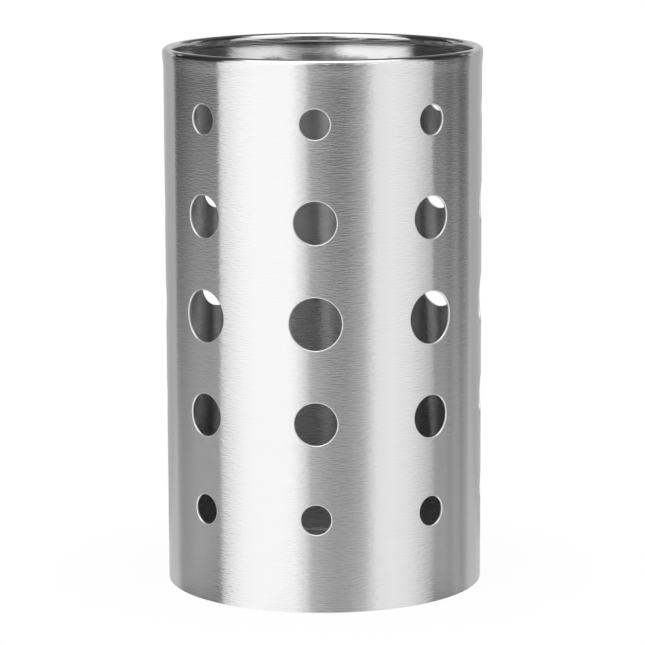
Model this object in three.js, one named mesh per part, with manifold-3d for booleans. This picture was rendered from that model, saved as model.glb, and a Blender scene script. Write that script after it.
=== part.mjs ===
// Cutlery drainer: a perforated stainless cylinder with a rolled rim and an inset, perforated base.
// Millimetres, +Z up. The origin is the centre of the foot circle.
// A bearing is an angle about +Z from the front, -Y, towards +X. One column of side holes faces the front.

import * as THREE from "three";
import { mergeVertices } from "three/addons/utils/BufferGeometryUtils.js";
import Module from "manifold-3d";

const wasm = await Module();
wasm.setup();

// Driving dimensions of the wall
const HEIGHT = 180; // foot edge to the top of the rim
const WALL_DIAMETER = 105.8; // outside of the straight wall
const WALL_SHEET = 0.6; // sheet thickness of the wall

// Driving dimensions of the rolled rim
const BEAD_DIAMETER = 3.4; // outside of the inward roll
const BEAD_PROUD = 0.35; // how far the roll stands out past the straight wall
const FLARE_LENGTH = 5.5; // length over which the wall swells out to the roll
const CURL_END = 280; // degrees of roll, counted from the outside of the bead

// Driving dimensions of the side holes, in columns round the wall and rows up it
const COLUMNS = 8;
const SEAM_GAP = 49.3; // degrees between the two columns beside the seam, more than between the others
const FOOT_MARGIN = 30.9; // foot edge to the centre of the lowest row
const RIM_MARGIN = 20.5; // top of the rim to the centre of the highest row
const ROW_SHIFT = 0.55; // the rows next to the middle stand this far outside even spacing
const END_HOLE = 9.8; // hole diameter in the lowest and highest rows
const NEXT_HOLE = 14; // hole diameter in the rows next to the middle
const MIDDLE_HOLE = 17.2; // hole diameter in the middle row

// Driving dimensions of the base and its drain holes
const BASE_SHEET = 0.6; // sheet thickness of the base
const BEND_INSIDE = 0.4; // inner radius of the bend between the base and its skirt
const SKIRT_STRAIGHT = 0.85; // straight length of the skirt below the bend
const DRAIN_HOLE = 6; // drain hole diameter
const DRAIN_MARGIN = 17; // edge of the base's flat to the centres of the outermost ring of drain holes
const DRAIN_RINGS = 2; // rings round the centre hole, each with six holes more than the one inside it

// Driving dimensions of the welds
const SEAM_WIDTH = 1.2; // gap between the sheet's two upright edges, which the side seam's weld fills
const EDGE_WELD_HEIGHT = 0.6; // height of the weld bead under the skirt
const EDGE_WELD_LIFT = 0.15; // the bead stays this far above the foot plane

// Clearances between neighbouring solids
const SKIRT_GAP = 0.15; // base skirt to wall
const WELD_GAP = 0.15; // weld metal to sheet
const WIRE_GAP = 0.12; // rim wire to the roll round it

// Fineness of the facets
const FACETS = 64; // round the axis
const SHOULDER_STEPS = 3; // the roll's first quarter, up to its top
const CURL_STEPS = 6; // the rest of the roll
const FLARE_STEPS = 3;
const BEND_STEPS = 3;
const WELD_STEPS = 2;
const WIRE_SIDES = 10;
const SIDE_HOLE_SIDES = 20;
const DRAIN_SIDES = 14;

// Derived sizes
const wallRadius = WALL_DIAMETER / 2;
const wallInside = wallRadius - WALL_SHEET;
const beadRadius = BEAD_DIAMETER / 2;
const beadCentre = new THREE.Vector2(wallRadius + BEAD_PROUD - beadRadius, HEIGHT - beadRadius);
const columnPitch = (360 - SEAM_GAP) / (COLUMNS - 1);
const frontColumn = Math.ceil(COLUMNS / 2) - 1; // counted from the seam
const seamBearing = -(frontColumn * columnPitch + SEAM_GAP / 2);
const skirtRadius = wallInside - SKIRT_GAP;
const edgeWeldTop = EDGE_WELD_LIFT + EDGE_WELD_HEIGHT;
const skirtFoot = edgeWeldTop + WELD_GAP;
const bendRadius = BEND_INSIDE + BASE_SHEET;
const bendCentre = new THREE.Vector2(skirtRadius - bendRadius, skirtFoot + SKIRT_STRAIGHT);
const baseTop = bendCentre.y + bendRadius;
const drainPitch = (bendCentre.x - DRAIN_MARGIN) / DRAIN_RINGS;
const cutReach = 2 * BEAD_DIAMETER; // cutters run at least this far past the sheet

const radians = THREE.MathUtils.degToRad;

// Rows of side holes from the foot up, each with its hole diameter and its shift up from even spacing.
const rows = [
  { diameter: END_HOLE, shift: 0 },
  { diameter: NEXT_HOLE, shift: -ROW_SHIFT },
  { diameter: MIDDLE_HOLE, shift: 0 },
  { diameter: NEXT_HOLE, shift: ROW_SHIFT },
  { diameter: END_HOLE, shift: 0 },
];
const rowPitch = (HEIGHT - FOOT_MARGIN - RIM_MARGIN) / (rows.length - 1);

// A closed geometry as a solid, with its shared vertices merged.
function solidOf(geometry) {
  const bare = new THREE.BufferGeometry();
  bare.setAttribute("position", geometry.getAttribute("position").clone());
  bare.setIndex(geometry.index.clone());
  const merged = mergeVertices(bare, 1e-4);
  return new wasm.Manifold(
    new wasm.Mesh({
      numProp: 3,
      vertProperties: new Float32Array(merged.attributes.position.array),
      triVerts: new Uint32Array(merged.index.array),
    }),
  );
}

// A solid as a geometry for a mesh.
function geometryOf(solid) {
  const { vertProperties, triVerts } = solid.getMesh();
  const geometry = new THREE.BufferGeometry();
  geometry.setAttribute("position", new THREE.BufferAttribute(vertProperties, 3));
  geometry.setIndex(new THREE.BufferAttribute(triVerts, 1));
  geometry.computeVertexNormals();
  return geometry;
}

// A section of (radius, height) points turned about +Z, with its first facet edge at the front.
function turned(section) {
  return new THREE.LatheGeometry(section, FACETS).rotateX(Math.PI / 2);
}

// Points on an arc about a centre, from one angle to another in degrees.
function arc(centre, radius, from, to, steps) {
  return Array.from({ length: steps + 1 }, (_, i) => {
    const angle = radians(from + ((to - from) * i) / steps);
    return new THREE.Vector2(
      centre.x + radius * Math.cos(angle),
      centre.y + radius * Math.sin(angle),
    );
  });
}

// The wall's section at a depth inside its outer face: up the wall, out along the flare and round the roll.
function wallLine(depth) {
  const foot = new THREE.Vector2(wallRadius - depth, 0);
  const flareFoot = new THREE.Vector2(foot.x, beadCentre.y - FLARE_LENGTH);
  const flareTop = new THREE.Vector2(foot.x + BEAD_PROUD, beadCentre.y);
  const upright = new THREE.Vector2(0, FLARE_LENGTH / 2);
  const flare = new THREE.CubicBezierCurve(
    flareFoot,
    flareFoot.clone().add(upright),
    flareTop.clone().sub(upright),
    flareTop,
  );
  const shoulder = arc(beadCentre, beadRadius - depth, 0, 90, SHOULDER_STEPS);
  const curl = arc(beadCentre, beadRadius - depth, 90, CURL_END, CURL_STEPS);
  return [foot, ...flare.getPoints(FLARE_STEPS), ...shoulder.slice(1), ...curl.slice(1)];
}

// The rolled blank before it is parted at the seam: one sheet from the foot edge to the end of the roll.
function wallBlank() {
  const outside = wallLine(0);
  const inside = wallLine(WALL_SHEET).reverse();
  return solidOf(turned([...outside, ...inside, outside[0]]));
}

// A slab along the side seam that spans the sheet from below the foot to above the rim.
function seamSlab(width) {
  const slab = new THREE.BoxGeometry(width, 4 * cutReach, HEIGHT + 2 * cutReach);
  slab.translate(0, -wallRadius, HEIGHT / 2).rotateZ(radians(seamBearing));
  return solidOf(slab);
}

// A punch that cuts one side hole through the wall.
function sidePunch(bearing, height, diameter) {
  const length = 2 * cutReach;
  const punch = new THREE.CylinderGeometry(diameter / 2, diameter / 2, length, SIDE_HOLE_SIDES);
  punch.translate(0, -wallRadius, height).rotateZ(radians(bearing));
  return solidOf(punch);
}

// The perforated sheet, open along the seam.
function wallSheet() {
  let sheet = wallBlank().subtract(seamSlab(SEAM_WIDTH));
  for (let column = 0; column < COLUMNS; column++) {
    const bearing = (column - frontColumn) * columnPitch;
    rows.forEach((row, i) => {
      const height = FOOT_MARGIN + i * rowPitch + row.shift;
      sheet = sheet.subtract(sidePunch(bearing, height, row.diameter));
    });
  }
  return geometryOf(sheet);
}

// The weld that closes the seam, flush with the sheet on both faces and rolled with it at the rim.
function sideSeamWeld() {
  return geometryOf(wallBlank().intersect(seamSlab(SEAM_WIDTH - 2 * WELD_GAP)));
}

// The wire ring that the rim is rolled round.
function rimWire() {
  const wireRadius = beadRadius - WALL_SHEET - WIRE_GAP;
  return turned(arc(beadCentre, wireRadius, 0, 360, WIRE_SIDES));
}

// The base's section at a depth inside its upper and outer face: from the axis, round the bend and down.
function baseLine(depth) {
  return [
    new THREE.Vector2(0, baseTop - depth),
    ...arc(bendCentre, bendRadius - depth, 90, 0, BEND_STEPS),
    new THREE.Vector2(skirtRadius - depth, skirtFoot),
  ];
}

// A punch that cuts one drain hole through the base.
function drainPunch(bearing, radius) {
  const punch = new THREE.CylinderGeometry(DRAIN_HOLE / 2, DRAIN_HOLE / 2, 2 * cutReach, DRAIN_SIDES);
  punch.rotateX(Math.PI / 2).translate(0, -radius, baseTop).rotateZ(radians(bearing));
  return solidOf(punch);
}

// The base: a shallow pan, skirt down, with rings of drain holes lined up with the seam.
function basePan() {
  let pan = solidOf(turned([...baseLine(BASE_SHEET), ...baseLine(0).reverse()]));
  for (let ring = 0; ring <= DRAIN_RINGS; ring++) {
    const holes = Math.max(1, 6 * ring);
    for (let i = 0; i < holes; i++) {
      const bearing = seamBearing + (360 * i) / holes;
      pan = pan.subtract(drainPunch(bearing, ring * drainPitch));
    }
  }
  return geometryOf(pan);
}

// The weld bead that joins the skirt's lower edge to the wall, hollow-faced like a fillet.
function baseEdgeWeld() {
  const outer = wallInside - WELD_GAP;
  const inner = skirtRadius - BASE_SHEET;
  const corner = new THREE.Vector2(outer, edgeWeldTop);
  const toe = new THREE.Vector2(inner, edgeWeldTop);
  const root = new THREE.Vector2(outer, EDGE_WELD_LIFT);
  const middle = toe.clone().lerp(root, 0.5).lerp(corner, 0.25);
  const face = new THREE.QuadraticBezierCurve(toe, middle, root);
  return turned([...face.getPoints(WELD_STEPS), corner, toe]);
}

const drainer = new THREE.Group();

function addPiece(name, geometry, color, roughness) {
  const finish = new THREE.MeshStandardMaterial({ color, roughness, metalness: 1 });
  const piece = new THREE.Mesh(geometry, finish);
  piece.name = name;
  drainer.add(piece);
}

addPiece("wall_sheet", wallSheet(), 0xc6c6c6, 0.32);
addPiece("side_seam_weld", sideSeamWeld(), 0xb8b7b4, 0.4);
addPiece("rim_wire", rimWire(), 0xb0b0b0, 0.4);
addPiece("base_pan", basePan(), 0xc2c2c2, 0.35);
addPiece("base_edge_weld", baseEdgeWeld(), 0xadaba6, 0.5);

export default drainer;
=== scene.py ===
# Cutlery drainer: the looks of a perforated, brushed steel drainer, in metres, in the frame of its CAD model.
# A bearing is an angle about +Z from the front, -Y, towards +X. One column of side holes faces the front.

import math

import bmesh
import bpy
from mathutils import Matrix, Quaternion, Vector


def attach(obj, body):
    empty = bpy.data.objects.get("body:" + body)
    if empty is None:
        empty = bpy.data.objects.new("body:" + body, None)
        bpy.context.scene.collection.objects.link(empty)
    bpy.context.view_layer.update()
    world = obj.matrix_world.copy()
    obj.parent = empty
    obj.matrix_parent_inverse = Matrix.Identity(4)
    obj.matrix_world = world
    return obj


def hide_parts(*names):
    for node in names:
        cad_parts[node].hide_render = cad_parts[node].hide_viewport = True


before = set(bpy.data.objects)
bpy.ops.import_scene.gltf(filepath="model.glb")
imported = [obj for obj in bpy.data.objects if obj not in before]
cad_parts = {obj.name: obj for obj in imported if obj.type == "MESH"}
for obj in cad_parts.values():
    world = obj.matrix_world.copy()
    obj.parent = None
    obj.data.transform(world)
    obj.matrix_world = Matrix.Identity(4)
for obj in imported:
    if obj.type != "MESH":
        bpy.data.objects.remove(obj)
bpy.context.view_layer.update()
bpy.ops.object.select_all(action="DESELECT")

MM = 0.001

# Wall sheet
WALL_RADIUS = 52.9 * MM  # outside
WALL_SHEET = 0.6 * MM
WALL_INSIDE = WALL_RADIUS - WALL_SHEET
HEIGHT = 180 * MM

# Side holes: columns round the wall, rows of (height, radius) from the foot up
COLUMNS = 8
FRONT_COLUMN = 3  # counted from the seam
SEAM_GAP = math.radians(49.3)  # between the two columns beside the seam
COLUMN_PITCH = (2 * math.pi - SEAM_GAP) / (COLUMNS - 1)
COLUMN_WIDTH = WALL_RADIUS * COLUMN_PITCH
SIDE_HOLES = [
    (30.9 * MM, 4.9 * MM),
    (62.5 * MM, 7.0 * MM),
    (95.2 * MM, 8.6 * MM),
    (127.9 * MM, 7.0 * MM),
    (159.5 * MM, 4.9 * MM),
]
LOWEST_PANEL = 15.1 * MM
HIGHEST_PANEL = 171 * MM
PANEL_STEPS = 16  # along each side of a panel
HOLE_LAND = 0.9 * MM  # plain ring of sheet round each hole
HOLE_ROUNDING = 0.32 * MM  # outer edge of a hole
INNER_ROUNDING = 0.12 * MM
FOOT_ROUNDING = 0.16 * MM
ROUNDING_STEPS = 3

# Rolled rim
BEAD_RADIUS = 1.7 * MM
BEAD_PROUD = 0.35 * MM
BEAD_RING = WALL_RADIUS + BEAD_PROUD - BEAD_RADIUS
BEAD_HEIGHT = HEIGHT - BEAD_RADIUS
FLARE_LENGTH = 5.5 * MM
FLARE_STEPS = 5
CURL_END = 280  # degrees of roll from the outside of the bead
CURL_STEPS = 28
INNER_LEAN = 0.3  # slope of the inner face's shading under the bead

# Seam and its weld
SEAM_WIDTH = 1.2 * MM
SEAM_BEARING = -(FRONT_COLUMN * COLUMN_PITCH + SEAM_GAP / 2)
SEAM_EDGE = WALL_RADIUS * (SEAM_GAP - COLUMN_PITCH) / 2 - SEAM_WIDTH / 2

# Base pan, skirt down
BASE_SHEET = 0.6 * MM
BASE_TOP = 2.75 * MM
BASE_BEND = 1.0 * MM
BASE_FLAT = 51.15 * MM  # radius
SKIRT_FOOT = 0.9 * MM
BEND_STEPS = 6
DRAIN_RADIUS = 3 * MM
DRAIN_MARGIN = 17 * MM  # edge of the flat to the centres of the outermost ring
DRAIN_RINGS = 2
DRAIN_PITCH = (BASE_FLAT - DRAIN_MARGIN) / DRAIN_RINGS
DRAIN_SIDES = 32
DRAIN_ROUNDING = 0.15 * MM

# Weld bead under the skirt, and the wire in the rim
RIPPLES = 232
RIPPLE_RADIUS = 0.4 * MM
RIPPLE_SIDES = 10
RIPPLE_SWELL = 1.12  # a ripple's crest to its ends
RIPPLE_RING = 51.91 * MM
RIPPLE_HEIGHT = 0.52 * MM
WIRE_RADIUS = 1.05 * MM
WIRE_SIDES = 14

# Fineness round the axis, and how near counts as touching
RING_STEPS = 128
TOUCH = 0.001 * MM
FACE_TOUCH = 0.015 * MM  # on a face, and not on a rounding beside it
MERGE = 0.005 * MM
SHARP = math.radians(60)
CUT_FACING = 0.97  # a face turned further from the radius than this is a cut edge

# Brushed finish: what changes over the sheet
STROKE_DEPTH = 0.175 * MM
HAIRLINE_SHARE = 0.03  # of the strokes' depth
POLISHED_SHARE = 0.03  # of the relief left where the sheet is polished
SMOOTHED = 0.6  # share of the relief gone inside, near the top
LENGTHWISE_CALM = 0.8  # share of the strokes' lengthwise slope taken out
BRUSHED_ROUGHNESS = (0.195, 0.215)
POLISHED_ROUGHNESS = 0.13
# Painted shade: the inner face's base colour goes darker towards the base, over these heights, where the inside
# lies in shade
PAINTED_SHADE_TONE = 0.42
SMOOTH_HEIGHTS = (60 * MM, 165 * MM)
PAINTED_SHADE_HEIGHTS = (10 * MM, 60 * MM)

# Room: a weak white fill, and where the floor shows its shadow, in metres from the axis
FILL_LIGHT = 0.35
SHADOW_FADE = (0.05, 0.12)
SHADOW_SHOWN = 0.04

# Camera: where the photograph was taken from, a little to the right of the front column
CAMERA_BEARING = 2.9  # degrees
CAMERA_DISTANCE = 1078.4 * MM
CAMERA_HEIGHT = 274.3 * MM
CAMERA_LENS = 181.5
CAMERA_ROLL = -0.232  # degrees
AIM_HEIGHT = 86.74 * MM
AIM_SIDE = -0.413 * MM


# Modelling by hand


def start_piece(primitive, name, **settings):
    """Adds a primitive as the start of a piece, and leaves it in edit mode, selected all over."""
    bpy.ops.object.select_all(action="DESELECT")
    primitive(**settings)
    bpy.ops.object.transform_apply(location=True, rotation=True, scale=True)
    piece = bpy.context.object
    piece.name = piece.data.name = name
    bpy.ops.object.mode_set(mode="EDIT")
    return piece


def leave_edit():
    bpy.ops.object.mode_set(mode="OBJECT")


def pick(piece, kind, wanted):
    """Selects those of a piece's vertices, edges or faces that wanted says yes to."""
    bpy.ops.mesh.select_mode(type=kind)
    bpy.ops.mesh.select_all(action="DESELECT")
    mesh = bmesh.from_edit_mesh(piece.data)
    for element in {"VERT": mesh.verts, "EDGE": mesh.edges, "FACE": mesh.faces}[kind]:
        if wanted(element):
            element.select_set(True)
    bmesh.update_edit_mesh(piece.data)


def edge_along(axis, value):
    """Says yes to an edge whose two ends both have that coordinate."""
    return lambda edge: all(abs(v.co[axis] - value) < TOUCH for v in edge.verts)


def pull(offset):
    """Extrudes what is selected and moves it."""
    bpy.ops.mesh.extrude_region_move(TRANSFORM_OT_translate={"value": offset})


def pull_ring(old, new):
    """Extrudes a selected ring round the axis from one (radius, height) to the next."""
    pull((0, 0, new[1] - old[1]))
    ratio = new[0] / old[0]
    bpy.ops.transform.resize(value=(ratio, ratio, 1), center_override=(0, 0, 0))


def move_piece(piece, offset):
    piece.location = offset
    bpy.ops.object.transform_apply(location=True, rotation=False, scale=False)


def turn_piece(piece, turn):
    piece.rotation_euler = turn
    bpy.ops.object.transform_apply(location=False, rotation=True, scale=False)


def join_pieces(pieces, name):
    bpy.ops.object.select_all(action="DESELECT")
    for piece in pieces:
        piece.select_set(True)
    bpy.context.view_layer.objects.active = pieces[0]
    bpy.ops.object.join()
    pieces[0].name = pieces[0].data.name = name
    return pieces[0]


def apply_modifier(piece, kind, **settings):
    modifier = piece.modifiers.new(kind.lower(), kind)
    for key, value in settings.items():
        setattr(modifier, key, value)
    bpy.ops.object.modifier_apply(modifier=modifier.name)


def give_thickness(piece, thickness):
    """Gives a sheet its thickness, inwards from the face that was modelled."""
    apply_modifier(piece, "SOLIDIFY", thickness=thickness, offset=-1, use_even_offset=True)


def round_edges(piece, rounding_of):
    """Rounds each sharp edge by what rounding_of says for the edge's middle."""
    mesh = bmesh.new()
    mesh.from_mesh(piece.data)
    weight = mesh.edges.layers.float.new("bevel_weight_edge")
    for edge in mesh.edges:
        if len(edge.link_faces) == 2 and edge.calc_face_angle() > SHARP:
            edge[weight] = rounding_of((edge.verts[0].co + edge.verts[1].co) / 2) / HOLE_ROUNDING
    mesh.to_mesh(piece.data)
    mesh.free()
    apply_modifier(piece, "BEVEL", width=HOLE_ROUNDING, segments=ROUNDING_STEPS, limit_method="WEIGHT")


def around(point):
    """The distance from the axis, and the outward and sideways directions there."""
    flat = Vector((point[0], point[1], 0))
    out = flat.normalized()
    return flat.length, out, Vector((-out.y, out.x, 0))


def set_normals(piece, normal_of):
    """Shades a piece smooth, with its flat and round faces kept true up to the roundings of their edges."""
    bpy.ops.object.shade_smooth()
    piece.data.normals_split_custom_set_from_vertices(
        [normal_of(v.co, v.normal) for v in piece.data.vertices]
    )


# Wall


def rim_line():
    """The outer face of the rim as (radius, height): up the flare, upright at both its ends, and round the roll."""
    line = [(WALL_RADIUS, BEAD_HEIGHT - FLARE_LENGTH)]
    for i in range(1, FLARE_STEPS + 1):
        t = i / FLARE_STEPS
        swell = 3 * t * t - 2 * t * t * t
        rise = 1.5 * t * (1 - t) ** 2 + 1.5 * t * t * (1 - t) + t**3
        line.append((WALL_RADIUS + BEAD_PROUD * swell, BEAD_HEIGHT - FLARE_LENGTH * (1 - rise)))
    for i in range(1, CURL_STEPS + 1):
        angle = math.radians(CURL_END) * i / CURL_STEPS
        line.append((BEAD_RING + BEAD_RADIUS * math.cos(angle), BEAD_HEIGHT + BEAD_RADIUS * math.sin(angle)))
    return line


def punched_panel(low, high, height, radius):
    """One flat panel of the sheet, a column wide, with its hole. X runs along the sheet and Y up it."""
    centre = (0, height, 0)
    panel = start_piece(
        bpy.ops.mesh.primitive_grid_add,
        "panel",
        x_subdivisions=PANEL_STEPS,
        y_subdivisions=PANEL_STEPS,
        size=1,
    )
    bpy.ops.transform.resize(value=(COLUMN_WIDTH, high - low, 1), center_override=(0, 0, 0))
    bpy.ops.transform.translate(value=(0, (low + high) / 2, 0))
    pick(panel, "VERT", lambda v: not v.is_boundary)
    bpy.ops.mesh.delete(type="VERT")
    bpy.ops.mesh.primitive_circle_add(vertices=4 * PANEL_STEPS, radius=radius, location=centre)
    pull((0, 0, 0))
    land = 1 + HOLE_LAND / radius
    bpy.ops.transform.resize(value=(land, land, 1), center_override=centre)
    reach = (radius + HOLE_LAND / 2) ** 2
    off = lambda v: v.co.x**2 + (v.co.y - height) ** 2
    pick(panel, "EDGE", lambda e: len(e.link_faces) < 2 and all(off(v) > reach for v in e.verts))
    bpy.ops.mesh.bridge_edge_loops(number_cuts=2, interpolation="LINEAR")
    leave_edit()
    return panel


def rim_normal(point, normal):
    """Keeps the rim round, and leans its inner face back under the bead."""
    radius, out, side = around(point)
    normal = (normal - normal.dot(side) * side).normalized()
    if normal.dot(out) < -0.9 and radius > WALL_INSIDE - 0.1 * MM:
        return (normal + INNER_LEAN * Vector((0, 0, 1))).normalized()
    return normal


def wall_normal(point, normal):
    radius, out, side = around(point)
    straight = FOOT_ROUNDING / 2 < point.z < HIGHEST_PANEL + TOUCH
    if straight and abs(radius - WALL_RADIUS) < FACE_TOUCH:
        return out
    if straight and abs(radius - WALL_INSIDE) < FACE_TOUCH:
        return -out
    if point.z > HIGHEST_PANEL:
        return rim_normal(point, normal)
    return normal


def wall_rounding(middle):
    radius, out, side = around(middle)
    outside = radius > (WALL_RADIUS + WALL_INSIDE) / 2
    if middle.z < TOUCH:
        return FOOT_ROUNDING if outside else INNER_ROUNDING
    bearing = math.atan2(middle.x, -middle.y)
    from_seam = (bearing - SEAM_BEARING + math.pi) % (2 * math.pi) - math.pi
    if abs(from_seam) * WALL_RADIUS < SEAM_WIDTH:
        return 0
    if middle.z > HIGHEST_PANEL:
        return INNER_ROUNDING
    return HOLE_ROUNDING if outside else INNER_ROUNDING


def make_wall():
    """The perforated sheet: punched flat, rolled round, and its top edge flared and rolled inwards."""
    heights = [height for height, radius in SIDE_HOLES]
    lines = [LOWEST_PANEL, *((a + b) / 2 for a, b in zip(heights, heights[1:])), HIGHEST_PANEL]
    panels = [punched_panel(low, high, *hole) for low, high, hole in zip(lines, lines[1:], SIDE_HOLES)]
    wall = join_pieces(panels, "wall")
    move_piece(wall, (-FRONT_COLUMN * COLUMN_WIDTH, 0, 0))
    apply_modifier(
        wall,
        "ARRAY",
        count=COLUMNS,
        use_relative_offset=False,
        use_constant_offset=True,
        constant_offset_displace=(COLUMN_WIDTH, 0, 0),
    )
    bpy.ops.object.mode_set(mode="EDIT")
    bpy.ops.mesh.select_all(action="SELECT")
    bpy.ops.mesh.remove_doubles(threshold=MERGE)
    first = -(FRONT_COLUMN + 0.5) * COLUMN_WIDTH
    last = first + COLUMNS * COLUMN_WIDTH
    pick(wall, "EDGE", edge_along(0, first))
    pull((-SEAM_EDGE, 0, 0))
    pick(wall, "EDGE", edge_along(0, last))
    pull((SEAM_EDGE, 0, 0))
    pick(wall, "EDGE", edge_along(1, LOWEST_PANEL))
    pull((0, -LOWEST_PANEL, 0))
    leave_edit()
    turn_piece(wall, (math.pi / 2, 0, 0))
    length = last - first + 2 * SEAM_EDGE
    apply_modifier(wall, "SIMPLE_DEFORM", deform_method="BEND", deform_axis="Z", angle=length / WALL_RADIUS)
    move_piece(wall, (0, -WALL_RADIUS, 0))
    bpy.ops.object.mode_set(mode="EDIT")
    pick(wall, "EDGE", edge_along(2, HIGHEST_PANEL))
    line = [(WALL_RADIUS, HIGHEST_PANEL), *rim_line()]
    for old, new in zip(line, line[1:]):
        pull_ring(old, new)
    bpy.ops.mesh.select_all(action="SELECT")
    bpy.ops.mesh.normals_make_consistent(inside=False)
    leave_edit()
    give_thickness(wall, WALL_SHEET)
    round_edges(wall, wall_rounding)
    set_normals(wall, wall_normal)
    return wall


# Side seam's weld


def make_seam_weld():
    """The weld that closes the rolled sheet, ground flush with it and rolled with it at the rim."""
    seam = start_piece(
        bpy.ops.mesh.primitive_plane_add,
        "seam_weld",
        size=SEAM_WIDTH,
        location=(0, SEAM_WIDTH / 2 - WALL_RADIUS, 0),
    )
    pick(seam, "VERT", lambda v: v.co.y > SEAM_WIDTH / 2 - WALL_RADIUS)
    bpy.ops.mesh.delete(type="VERT")
    bpy.ops.mesh.select_all(action="SELECT")
    bpy.ops.mesh.subdivide(number_cuts=3)
    line = [(WALL_RADIUS, 0), (WALL_RADIUS, FOOT_ROUNDING), (WALL_RADIUS, HIGHEST_PANEL), *rim_line()]
    for old, new in zip(line, line[1:]):
        pull_ring(old, new)
    bpy.ops.mesh.select_all(action="SELECT")
    bpy.ops.mesh.normals_make_consistent(inside=False)
    leave_edit()
    turn_piece(seam, (0, 0, SEAM_BEARING))
    give_thickness(seam, WALL_SHEET)
    set_normals(seam, wall_normal)
    return seam


# Rim wire


def make_rim_wire():
    """The wire ring that the rim is rolled round."""
    wire = start_piece(
        bpy.ops.mesh.primitive_circle_add,
        "rim_wire_ring",
        vertices=WIRE_SIDES,
        radius=WIRE_RADIUS,
        location=(0, -BEAD_RING, BEAD_HEIGHT),
        rotation=(0, math.pi / 2, 0),
    )
    bpy.ops.mesh.spin(steps=RING_STEPS, angle=2 * math.pi, center=(0, 0, 0), axis=(0, 0, 1))
    bpy.ops.mesh.select_all(action="SELECT")
    bpy.ops.mesh.remove_doubles(threshold=MERGE)
    bpy.ops.mesh.normals_make_consistent(inside=False)
    leave_edit()
    bpy.ops.object.shade_smooth()
    return wire


# Base


def base_normal(point, normal):
    radius, out, side = around(point)
    if radius < BASE_FLAT + TOUCH and abs(point.z - BASE_TOP) < FACE_TOUCH:
        return Vector((0, 0, 1))
    if radius < BASE_FLAT + TOUCH and abs(point.z - BASE_TOP + BASE_SHEET) < FACE_TOUCH:
        return Vector((0, 0, -1))
    return normal


def base_rounding(middle):
    radius, out, side = around(middle)
    if radius < BASE_FLAT and middle.z > BASE_TOP - BASE_SHEET / 2:
        return DRAIN_ROUNDING
    return DRAIN_ROUNDING / 2


def make_base():
    """The base: a flat disc with rings of drain holes, its edge bent down into a short skirt."""
    base = start_piece(
        bpy.ops.mesh.primitive_circle_add, "base", vertices=RING_STEPS, radius=BASE_FLAT, location=(0, 0, 0)
    )
    for ring in range(DRAIN_RINGS + 1):
        holes = max(1, 6 * ring)
        for i in range(holes):
            bearing = SEAM_BEARING + 2 * math.pi * i / holes
            reach = ring * DRAIN_PITCH
            centre = (reach * math.sin(bearing), -reach * math.cos(bearing), 0)
            bpy.ops.mesh.primitive_circle_add(vertices=DRAIN_SIDES, radius=DRAIN_RADIUS, location=centre)
    bpy.ops.mesh.select_all(action="SELECT")
    bpy.ops.mesh.fill(use_beauty=True)
    bpy.ops.mesh.select_all(action="SELECT")
    bpy.ops.transform.translate(value=(0, 0, BASE_TOP))
    outermost = BASE_FLAT - DRAIN_RADIUS
    pick(base, "EDGE", lambda e: e.is_boundary and all(around(v.co)[0] > outermost for v in e.verts))
    line = [(BASE_FLAT, BASE_TOP)]
    for i in range(1, BEND_STEPS + 1):
        angle = math.pi / 2 * i / BEND_STEPS
        line.append((BASE_FLAT + BASE_BEND * math.sin(angle), BASE_TOP - BASE_BEND * (1 - math.cos(angle))))
    line.append((BASE_FLAT + BASE_BEND, SKIRT_FOOT))
    for old, new in zip(line, line[1:]):
        pull_ring(old, new)
    bpy.ops.mesh.select_all(action="SELECT")
    bpy.ops.mesh.normals_make_consistent(inside=False)
    leave_edit()
    give_thickness(base, BASE_SHEET)
    round_edges(base, base_rounding)
    set_normals(base, base_normal)
    return base


# Weld bead under the base


def make_edge_weld():
    """The rippled weld bead between the skirt's lower edge and the wall: one ripple, copied round the foot."""
    turn = 2 * math.pi / RIPPLES
    weld = start_piece(
        bpy.ops.mesh.primitive_circle_add,
        "edge_weld",
        vertices=RIPPLE_SIDES,
        radius=RIPPLE_RADIUS,
        location=(0, -RIPPLE_RING, RIPPLE_HEIGHT),
        rotation=(0, math.pi / 2, 0),
    )
    for swell in (RIPPLE_SWELL, 1.0, 1 / RIPPLE_SWELL):
        pull((0, 0, 0))
        bpy.ops.transform.rotate(value=-turn / 3, orient_axis="Z", center_override=(0, 0, 0))
        bpy.ops.transform.resize(value=(1, swell, swell), center_override=(0, -RIPPLE_RING, RIPPLE_HEIGHT))
    leave_edit()
    middle = bpy.data.objects.new("ripple_turn", None)
    bpy.context.scene.collection.objects.link(middle)
    middle.rotation_euler = (0, 0, turn)
    bpy.context.view_layer.update()
    apply_modifier(
        weld,
        "ARRAY",
        count=RIPPLES,
        use_relative_offset=False,
        use_object_offset=True,
        offset_object=middle,
    )
    bpy.data.objects.remove(middle)
    bpy.ops.object.mode_set(mode="EDIT")
    bpy.ops.mesh.select_all(action="SELECT")
    bpy.ops.mesh.remove_doubles(threshold=0.02 * MM)
    bpy.ops.mesh.normals_make_consistent(inside=False)
    leave_edit()
    bpy.ops.object.shade_smooth()
    return weld


# Finishes


def fill(tree, node, inputs):
    """Puts values or links on a node's sockets."""
    for key, value in dict(inputs).items():
        if isinstance(value, bpy.types.NodeSocket):
            tree.links.new(value, node.inputs[key])
        else:
            node.inputs[key].default_value = value


def put(tree, kind, inputs=(), **settings):
    """Adds a node with its settings, and with values or links on its sockets."""
    node = tree.nodes.new(kind)
    for key, value in settings.items():
        setattr(node, key, value)
    fill(tree, node, inputs)
    return node


def maths(tree, operation, a, b=0.0, c=0.0):
    return put(tree, "ShaderNodeMath", {0: a, 1: b, 2: c}, operation=operation).outputs[0]


def vectors(tree, operation, a, b=(0, 0, 0)):
    return put(tree, "ShaderNodeVectorMath", {0: a, 1: b}, operation=operation).outputs[0]


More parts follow.
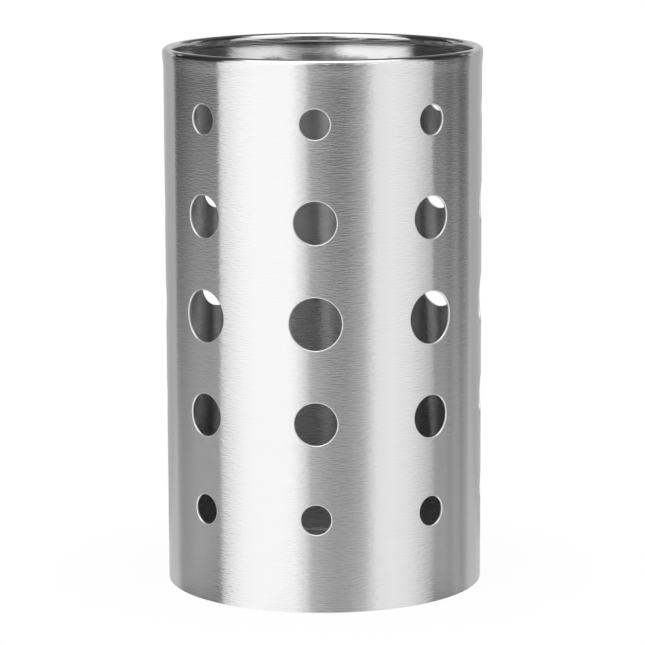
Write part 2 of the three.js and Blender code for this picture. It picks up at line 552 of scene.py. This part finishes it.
def spread(tree, value, low, high, to_low, to_high):
    """Maps a value from one range to another, smoothly."""
    inputs = {"Value": value, "From Min": low, "From Max": high, "To Min": to_low, "To Max": to_high}
    return put(tree, "ShaderNodeMapRange", inputs, interpolation_type="SMOOTHSTEP").outputs[0]


def blend_tones(tree, factor, tone, other):
    """Goes from one tone to another as the factor goes from 0 to 1."""
    return put(tree, "ShaderNodeMix", {0: factor, 6: tone, 7: other}, data_type="RGBA").outputs[2]


def new_group(name, inputs, outputs):
    group = bpy.data.node_groups.new(name, "ShaderNodeTree")
    for label, kind in inputs:
        group.interface.new_socket(label, in_out="INPUT", socket_type=kind)
    for label, kind in outputs:
        group.interface.new_socket(label, in_out="OUTPUT", socket_type=kind)
    return group, group.nodes.new("NodeGroupInput").outputs, group.nodes.new("NodeGroupOutput").inputs


def brush_strokes_group():
    """Fine strokes of a brushed finish. They run in the XY plane and are packed along Z."""
    group, given, out = new_group(
        "brush_strokes",
        [("Vector", "NodeSocketVector"), ("Along", "NodeSocketFloat"), ("Across", "NodeSocketFloat")],
        [("Strokes", "NodeSocketFloat"), ("Hairlines", "NodeSocketFloat"), ("Bands", "NodeSocketFloat")],
    )

    def layer(along, across, detail):
        run = maths(group, "MULTIPLY", given["Along"], along)
        pack = maths(group, "MULTIPLY", given["Across"], across)
        scale = put(group, "ShaderNodeCombineXYZ", {0: run, 1: run, 2: pack}).outputs[0]
        place = put(group, "ShaderNodeVectorMath", {0: given["Vector"], 1: scale}, operation="MULTIPLY")
        noise = put(
            group,
            "ShaderNodeTexNoise",
            {"Vector": place.outputs[0], "Scale": 1.0, "Detail": detail, "Roughness": 0.5},
        )
        return noise.outputs[0]

    group.links.new(layer(1, 1, 2), out["Strokes"])
    group.links.new(layer(1.5, 9, 1), out["Hairlines"])
    group.links.new(layer(0.1, 0.06, 2), out["Bands"])
    return group


def new_finish(name):
    finish = bpy.data.materials.new(name)
    finish.use_nodes = True
    tree = finish.node_tree
    tree.nodes.clear()
    steel = tree.nodes.new("ShaderNodeBsdfPrincipled")
    tree.links.new(steel.outputs[0], tree.nodes.new("ShaderNodeOutputMaterial").inputs["Surface"])
    steel.inputs["Metallic"].default_value = 1.0
    return finish, tree, steel


def grey(value, warmth=0.0):
    return (value * (1 + warmth), value, value * (1 - warmth), 1)


def wall_zones_group():
    """Masks for the sheet: polished over the rim bead, and inside smooth near the top, and painted shade near the
    base, a darker base colour where the inside lies in shade.
    """
    group, given, out = new_group(
        "wall_zones",
        [("Vector", "NodeSocketVector")],
        [("Polished", "NodeSocketFloat"), ("Smooth", "NodeSocketFloat"), ("Painted_Shade", "NodeSocketFloat")],
    )
    sides = put(group, "ShaderNodeSeparateXYZ", {0: given["Vector"]}).outputs
    flat = put(group, "ShaderNodeCombineXYZ", {0: sides["X"], 1: sides["Y"]}).outputs[0]
    radius = put(group, "ShaderNodeVectorMath", {0: flat}, operation="LENGTH").outputs["Value"]
    crest = spread(group, sides["Z"], BEAD_HEIGHT, BEAD_HEIGHT + 0.7 * MM, 0, 1)
    curl = spread(group, radius, WALL_INSIDE - 0.4 * MM, WALL_INSIDE - 0.15 * MM, 1, 0)
    group.links.new(maths(group, "MAXIMUM", crest, curl), out["Polished"])
    face = spread(group, radius, WALL_INSIDE + 0.2 * MM, WALL_INSIDE + 0.4 * MM, 1, 0)
    top = spread(group, sides["Z"], *SMOOTH_HEIGHTS, 0, 1)
    group.links.new(maths(group, "MULTIPLY", face, top), out["Smooth"])
    # Painted shade mask: the inner face, darker towards the base
    bottom = spread(group, sides["Z"], *PAINTED_SHADE_HEIGHTS, 1, 0)
    group.links.new(maths(group, "MULTIPLY", face, bottom), out["Painted_Shade"])
    return group


def brushed_finish(name, strokes_group, zones_group, along, across, dark, light):
    """Brushed round the wall, between a dark and a light grey, and polished over the rim bead.

    Part of the strokes' lengthwise slope is taken out, so that reflections keep clean upright edges.
    """
    finish, tree, steel = new_finish(name)
    place = tree.nodes.new("ShaderNodeTexCoord").outputs["Object"]
    brush = {"Vector": place, "Along": along, "Across": across}
    strokes = put(tree, "ShaderNodeGroup", node_tree=strokes_group)
    fill(tree, strokes, brush)
    zones = put(tree, "ShaderNodeGroup", node_tree=zones_group)
    fill(tree, zones, {"Vector": place})
    polished = zones.outputs["Polished"]
    brushed = maths(tree, "SUBTRACT", 1.0, polished)
    rough = spread(tree, strokes.outputs["Bands"], 0.3, 0.7, *BRUSHED_ROUGHNESS)
    rough = maths(tree, "MULTIPLY", rough, brushed)
    rough = maths(tree, "MULTIPLY_ADD", polished, POLISHED_ROUGHNESS, rough)
    tree.links.new(rough, steel.inputs["Roughness"])
    tone = blend_tones(tree, strokes.outputs["Bands"], grey(dark), grey(light))
    # Painted shade: a darker base colour on the inner face near the base
    tone = blend_tones(tree, zones.outputs["Painted_Shade"], tone, grey(PAINTED_SHADE_TONE))
    tree.links.new(tone, steel.inputs["Base Color"])
    hairlines = maths(tree, "MULTIPLY", strokes.outputs["Hairlines"], HAIRLINE_SHARE)
    relief = maths(tree, "ADD", strokes.outputs["Strokes"], hairlines)
    depth = maths(tree, "MULTIPLY_ADD", zones.outputs["Smooth"], -SMOOTHED, 1.0)
    outside_bead = maths(tree, "MULTIPLY_ADD", brushed, 1 - POLISHED_SHARE, POLISHED_SHARE)
    relief = maths(tree, "MULTIPLY", relief, maths(tree, "MULTIPLY", depth, outside_bead))
    bump = put(tree, "ShaderNodeBump", {"Height": relief, "Strength": 1.0, "Distance": STROKE_DEPTH})
    bump = bump.outputs[0]
    around_wall = vectors(tree, "NORMALIZE", vectors(tree, "CROSS_PRODUCT", (0, 0, 1), place))
    slope = put(tree, "ShaderNodeVectorMath", {0: bump, 1: around_wall}, operation="DOT_PRODUCT")
    slope = maths(tree, "MULTIPLY", slope.outputs["Value"], LENGTHWISE_CALM)
    lengthwise = put(tree, "ShaderNodeVectorMath", {0: around_wall, "Scale": slope}, operation="SCALE")
    calmed = vectors(tree, "NORMALIZE", vectors(tree, "SUBTRACT", bump, lengthwise.outputs[0]))
    tree.links.new(calmed, steel.inputs["Normal"])
    tree.links.new(around_wall, steel.inputs["Tangent"])
    steel.inputs["Anisotropic"].default_value = 1.0
    steel.inputs["Anisotropic Rotation"].default_value = 0.25
    return finish


def plain_finish(name, strokes_group, value, rough, along, across, turn=(0, 0, 0), warmth=0.0, relief=0.004):
    """A lightly worked steel: strokes in one direction, in its gloss and in a shallow relief."""
    finish, tree, steel = new_finish(name)
    place = tree.nodes.new("ShaderNodeTexCoord").outputs["Object"]
    turned = put(tree, "ShaderNodeMapping", {"Vector": place, "Rotation": turn}).outputs[0]
    strokes = put(tree, "ShaderNodeGroup", node_tree=strokes_group)
    fill(tree, strokes, {"Vector": turned, "Along": along, "Across": across})
    gloss = maths(tree, "MULTIPLY_ADD", strokes.outputs["Strokes"], rough * 0.5, rough * 0.75)
    tree.links.new(gloss, steel.inputs["Roughness"])
    tone = blend_tones(tree, strokes.outputs["Bands"], grey(value * 0.93, warmth), grey(value * 1.05, warmth))
    tree.links.new(tone, steel.inputs["Base Color"])
    bump = put(
        tree,
        "ShaderNodeBump",
        {"Height": strokes.outputs["Hairlines"], "Strength": 1.0, "Distance": relief * MM},
    )
    tree.links.new(bump.outputs[0], steel.inputs["Normal"])
    return finish


# Studio


def direction(bearing):
    bearing = math.radians(bearing)
    return Vector((math.sin(bearing), -math.cos(bearing), 0))


def face_towards(thing, place, aim):
    """Puts a lamp or a card somewhere, with its -Z towards a point."""
    thing.location = place
    thing.rotation_euler = (Vector(aim) - Vector(place)).to_track_quat("-Z", "Y").to_euler()


def softbox(name, place, aim, width, height, brightness):
    lamp = bpy.data.lights.new(name, "AREA")
    lamp.shape = "RECTANGLE"
    lamp.size, lamp.size_y = width, height
    lamp.energy = math.pi * width * height * brightness
    box = bpy.data.objects.new(name, lamp)
    bpy.context.scene.collection.objects.link(box)
    face_towards(box, place, aim)
    box.visible_camera = False


def ramp_across(tree, side, shares):
    """A share that changes along one side of a card, or round the floor, which runs from -0.5 to 0.5."""
    ramp = put(tree, "ShaderNodeValToRGB", {0: maths(tree, "ADD", side, 0.5)})
    stops = ramp.color_ramp.elements
    stops[0].position, stops[0].color = shares[0][0], grey(shares[0][1])
    stops[1].position, stops[1].color = shares[-1][0], grey(shares[-1][1])
    for position, share in shares[1:-1]:
        stops.new(position).color = grey(share)
    return ramp.outputs[0]


def card(name, place, aim, width, height, level, across=((0, 1),), upward=((0, 1),), cover=((0, 1),)):
    """A panel or flag that only reflections see.

    Its glow has shares of one level, across it and upward. Its cover fades across it.
    """
    bpy.ops.object.select_all(action="DESELECT")
    bpy.ops.mesh.primitive_plane_add(size=1)
    panel = bpy.context.object
    panel.name = panel.data.name = name
    panel.scale = (width, height, 1)
    face_towards(panel, place, aim)
    panel.visible_camera = panel.visible_shadow = False
    finish = bpy.data.materials.new(name)
    finish.use_nodes = True
    tree = finish.node_tree
    tree.nodes.clear()
    place = tree.nodes.new("ShaderNodeTexCoord").outputs["Object"]
    sides = put(tree, "ShaderNodeSeparateXYZ", {0: place}).outputs
    glow = maths(tree, "MULTIPLY", ramp_across(tree, sides["X"], across), level)
    glow = maths(tree, "MULTIPLY", glow, ramp_across(tree, sides["Y"], upward))
    light = put(tree, "ShaderNodeEmission", {"Color": grey(1), "Strength": glow})
    clear = put(tree, "ShaderNodeBsdfTransparent", {"Color": grey(1)})
    hides = ramp_across(tree, sides["X"], cover)
    mix = put(tree, "ShaderNodeMixShader", {0: hides, 1: clear.outputs[0], 2: light.outputs[0]})
    tree.links.new(mix.outputs[0], tree.nodes.new("ShaderNodeOutputMaterial").inputs["Surface"])
    panel.data.materials.append(finish)


def standing(bearing, distance, low, high):
    """Where an upright card stands, and a point on its way to the axis that it faces."""
    middle = Vector((0, 0, (low + high) / 2))
    return direction(bearing) * distance + middle, direction(bearing) * distance * 0.1 + middle


# Painted light: pools of white glow on the floor that only reflections see, giving how white the floor is in
# reflections, round the object from the back by the left and the front to the right
FLOOR_GLOW_POOLS = (
    (0.12, 0),
    (0.16, 0.28),
    (0.3, 0.32),
    (0.375, 0.03),
    (0.44, 0.03),
    (0.48, 0.36),
    (0.54, 0.42),
    (0.6, 0.1),
    (0.64, 0.1),
    (0.69, 0.32),
    (0.85, 0.28),
    (0.88, 0),
)


def floor_finish():
    """Pale, plain white to the camera apart from the shadow near the object, and glossy in reflections, with
    painted pools of white glow round the object.
    """
    finish = bpy.data.materials.new("pale_floor")
    finish.use_nodes = True
    tree = finish.node_tree
    tree.nodes.clear()
    matte = put(tree, "ShaderNodeBsdfPrincipled", {"Base Color": grey(0.95), "Roughness": 0.6})
    gloss = put(
        tree,
        "ShaderNodeBsdfPrincipled",
        {"Base Color": grey(0.99), "Metallic": 1.0, "Roughness": 0.12},
    )
    white = put(tree, "ShaderNodeEmission", {"Color": grey(1), "Strength": 1.0})
    place = tree.nodes.new("ShaderNodeTexCoord").outputs["Object"]
    path = tree.nodes.new("ShaderNodeLightPath").outputs
    away = put(tree, "ShaderNodeVectorMath", {0: place}, operation="LENGTH").outputs["Value"]
    shown = maths(tree, "MULTIPLY", path["Is Camera Ray"], spread(tree, away, *SHADOW_FADE, 1 - SHADOW_SHOWN, 1))
    seen = put(tree, "ShaderNodeMixShader", {0: shown, 1: matte.outputs[0], 2: white.outputs[0]})
    sides = put(tree, "ShaderNodeSeparateXYZ", {0: place}).outputs
    # Painted light: the floor glows white in reflections, more in some bearings round the object than in others
    bearing = maths(tree, "ARCTAN2", sides["X"], maths(tree, "MULTIPLY", sides["Y"], -1))
    painted_glow = ramp_across(tree, maths(tree, "DIVIDE", bearing, 2 * math.pi), FLOOR_GLOW_POOLS)
    mirrored = put(tree, "ShaderNodeMixShader", {0: painted_glow, 1: gloss.outputs[0], 2: white.outputs[0]})
    mirror = path["Is Glossy Ray"]
    mix = put(tree, "ShaderNodeMixShader", {0: mirror, 1: seen.outputs[0], 2: mirrored.outputs[0]})
    tree.links.new(mix.outputs[0], tree.nodes.new("ShaderNodeOutputMaterial").inputs["Surface"])
    return finish


def make_world():
    """White to the camera and in reflections, and a weaker white as fill light."""
    world = bpy.data.worlds.new("white_room")
    bpy.context.scene.world = world
    world.use_nodes = True
    tree = world.node_tree
    tree.nodes.clear()
    path = tree.nodes.new("ShaderNodeLightPath").outputs
    shown = maths(tree, "ADD", path["Is Camera Ray"], path["Is Glossy Ray"])
    shown = maths(tree, "ADD", shown, path["Is Transmission Ray"])
    strength = spread(tree, shown, 0, 1, FILL_LIGHT, 1)
    white = put(tree, "ShaderNodeBackground", {"Color": grey(1), "Strength": strength})
    tree.links.new(white.outputs[0], tree.nodes.new("ShaderNodeOutputWorld").inputs["Surface"])


def make_studio():
    bpy.ops.object.select_all(action="DESELECT")
    bpy.ops.mesh.primitive_plane_add(size=8)
    floor = bpy.context.object
    floor.name = floor.data.name = "floor"
    floor.data.materials.append(floor_finish())
    softbox("overhead_softbox", (0, -0.4, 1.1), (0, -0.4, 0), width=2.2, height=0.9, brightness=1.3)
    card(
        "left_softbox",
        *standing(-44.1, 0.7, 0, 1.1),
        width=1.02,
        height=1.1,
        level=1.49,
        across=((0.1, 0.8), (0.36, 1)),
    )
    card(
        "right_softbox",
        *standing(60.9, 0.7, 0, 1.1),
        width=0.78,
        height=1.1,
        level=1.27,
        across=((0, 0.9), (0.39, 1), (0.6, 0.94), (0.85, 0.64)),
        upward=((0, 0.96), (0.3, 1)),
    )
    card(
        "left_flag",
        *standing(-99.6, 0.417, 0, 0.8),
        width=0.412,
        height=0.8,
        level=0.48,
        across=((0, 0.35), (0.3, 0.65), (0.55, 0.95), (1, 1)),
        upward=((0.0625, 1), (0.1875, 0.48), (0.3125, 0.1)),
    )
    card(
        "right_flag",
        *standing(105.6, 0.42, 0, 0.8),
        width=0.3275,
        height=0.8,
        level=0.46,
        across=(
            (0.3, 0.95),
            (0.38, 0.64),
            (0.44, 0.64),
            (0.54, 1),
            (0.62, 1),
            (0.7, 0.56),
            (0.84, 0.62),
            (1, 0.8),
        ),
        upward=((0.03, 1), (0.25, 0.4), (0.44, 0.2), (0.55, 0.08)),
    )
    card(
        "front_flag",
        *standing(11.9, 0.6, 0, 0.95),
        width=0.7,
        height=0.95,
        level=1.0,
        upward=((0, 0.62), (0.03, 0.48), (0.1, 0.1), (0.2, 0.03), (0.5, 0.05), (1, 0.5)),
        cover=((0, 0), (0.14, 0.33), (0.24, 0.65), (0.47, 0.93), (0.6, 0.93), (0.79, 0.58), (0.95, 0.02)),
    )
    card("back_flag", (0, 0.85, 1.0), (0, 0.85, 0), width=2.4, height=1.3, level=0.12)
    card(
        "backdrop_panel",
        *standing(179.9, 0.9, 0, 0.7),
        width=2.6,
        height=0.7,
        level=0.68,
        across=((0.1, 0.85), (0.3, 0.8), (0.5, 1), (0.7, 0.8), (0.9, 0.85)),
        upward=((0.3, 0.96), (0.52, 1), (0.62, 1.2), (0.74, 1.15), (0.85, 0.35)),
    )


def make_camera():
    lens = bpy.data.cameras.new("photo_camera")
    lens.sensor_width = 36
    lens.lens = CAMERA_LENS
    camera = bpy.data.objects.new("photo_camera", lens)
    bpy.context.scene.collection.objects.link(camera)
    ahead = direction(CAMERA_BEARING)
    place = ahead * CAMERA_DISTANCE + Vector((0, 0, CAMERA_HEIGHT))
    right = Vector((-ahead.y, ahead.x, 0))
    aim = right * AIM_SIDE + Vector((0, 0, AIM_HEIGHT))
    level = (aim - place).to_track_quat("-Z", "Y")
    camera.location = place
    camera.rotation_euler = (level @ Quaternion((0, 0, 1), math.radians(CAMERA_ROLL))).to_euler()
    bpy.context.scene.camera = camera


# Assembly

wall = make_wall()
seam_weld = make_seam_weld()
rim_wire_ring = make_rim_wire()
base = make_base()
edge_weld = make_edge_weld()

brush_strokes = brush_strokes_group()
wall_zones = wall_zones_group()
brushed_wall_steel = brushed_finish(
    "brushed_wall_steel", brush_strokes, wall_zones, along=400, across=2100, dark=0.625, light=0.65
)
cut_edge_steel = plain_finish("cut_edge_steel", brush_strokes, value=0.86, rough=0.42, along=400, across=900)
base_sheet_steel = plain_finish(
    "base_sheet_steel", brush_strokes, value=0.62, rough=0.36, along=60, across=2600, turn=(math.pi / 2, 0, 0)
)
ground_seam_steel = brushed_finish(
    "ground_seam_steel", brush_strokes, wall_zones, along=600, across=2400, dark=0.58, light=0.64
)
weld_bead_steel = plain_finish(
    "weld_bead_steel", brush_strokes, value=0.5, rough=0.42, along=900, across=1500, warmth=0.03
)
drawn_wire_steel = plain_finish(
    "drawn_wire_steel", brush_strokes, value=0.58, rough=0.34, along=80, across=3000
)

for piece, node, slot, finish in (
    (wall, "wall_sheet", "wall_steel", brushed_wall_steel),
    (seam_weld, "side_seam_weld", "weld_steel", ground_seam_steel),
    (rim_wire_ring, "rim_wire", "wire_steel", drawn_wire_steel),
    (base, "base_pan", "base_steel", base_sheet_steel),
    (edge_weld, "base_edge_weld", "weld_steel", weld_bead_steel),
):
    piece.data.materials.clear()
    piece.data.materials.append(finish)
    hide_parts(node)
    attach(piece, "root")

wall.data.materials.append(cut_edge_steel)
for face in wall.data.polygons:
    radius, out, side = around(face.center)
    if abs(face.normal.dot(out)) < CUT_FACING and face.center.z < HIGHEST_PANEL:
        face.material_index = 1

make_studio()
make_world()
make_camera()
bpy.context.scene.view_settings.view_transform = "Standard"
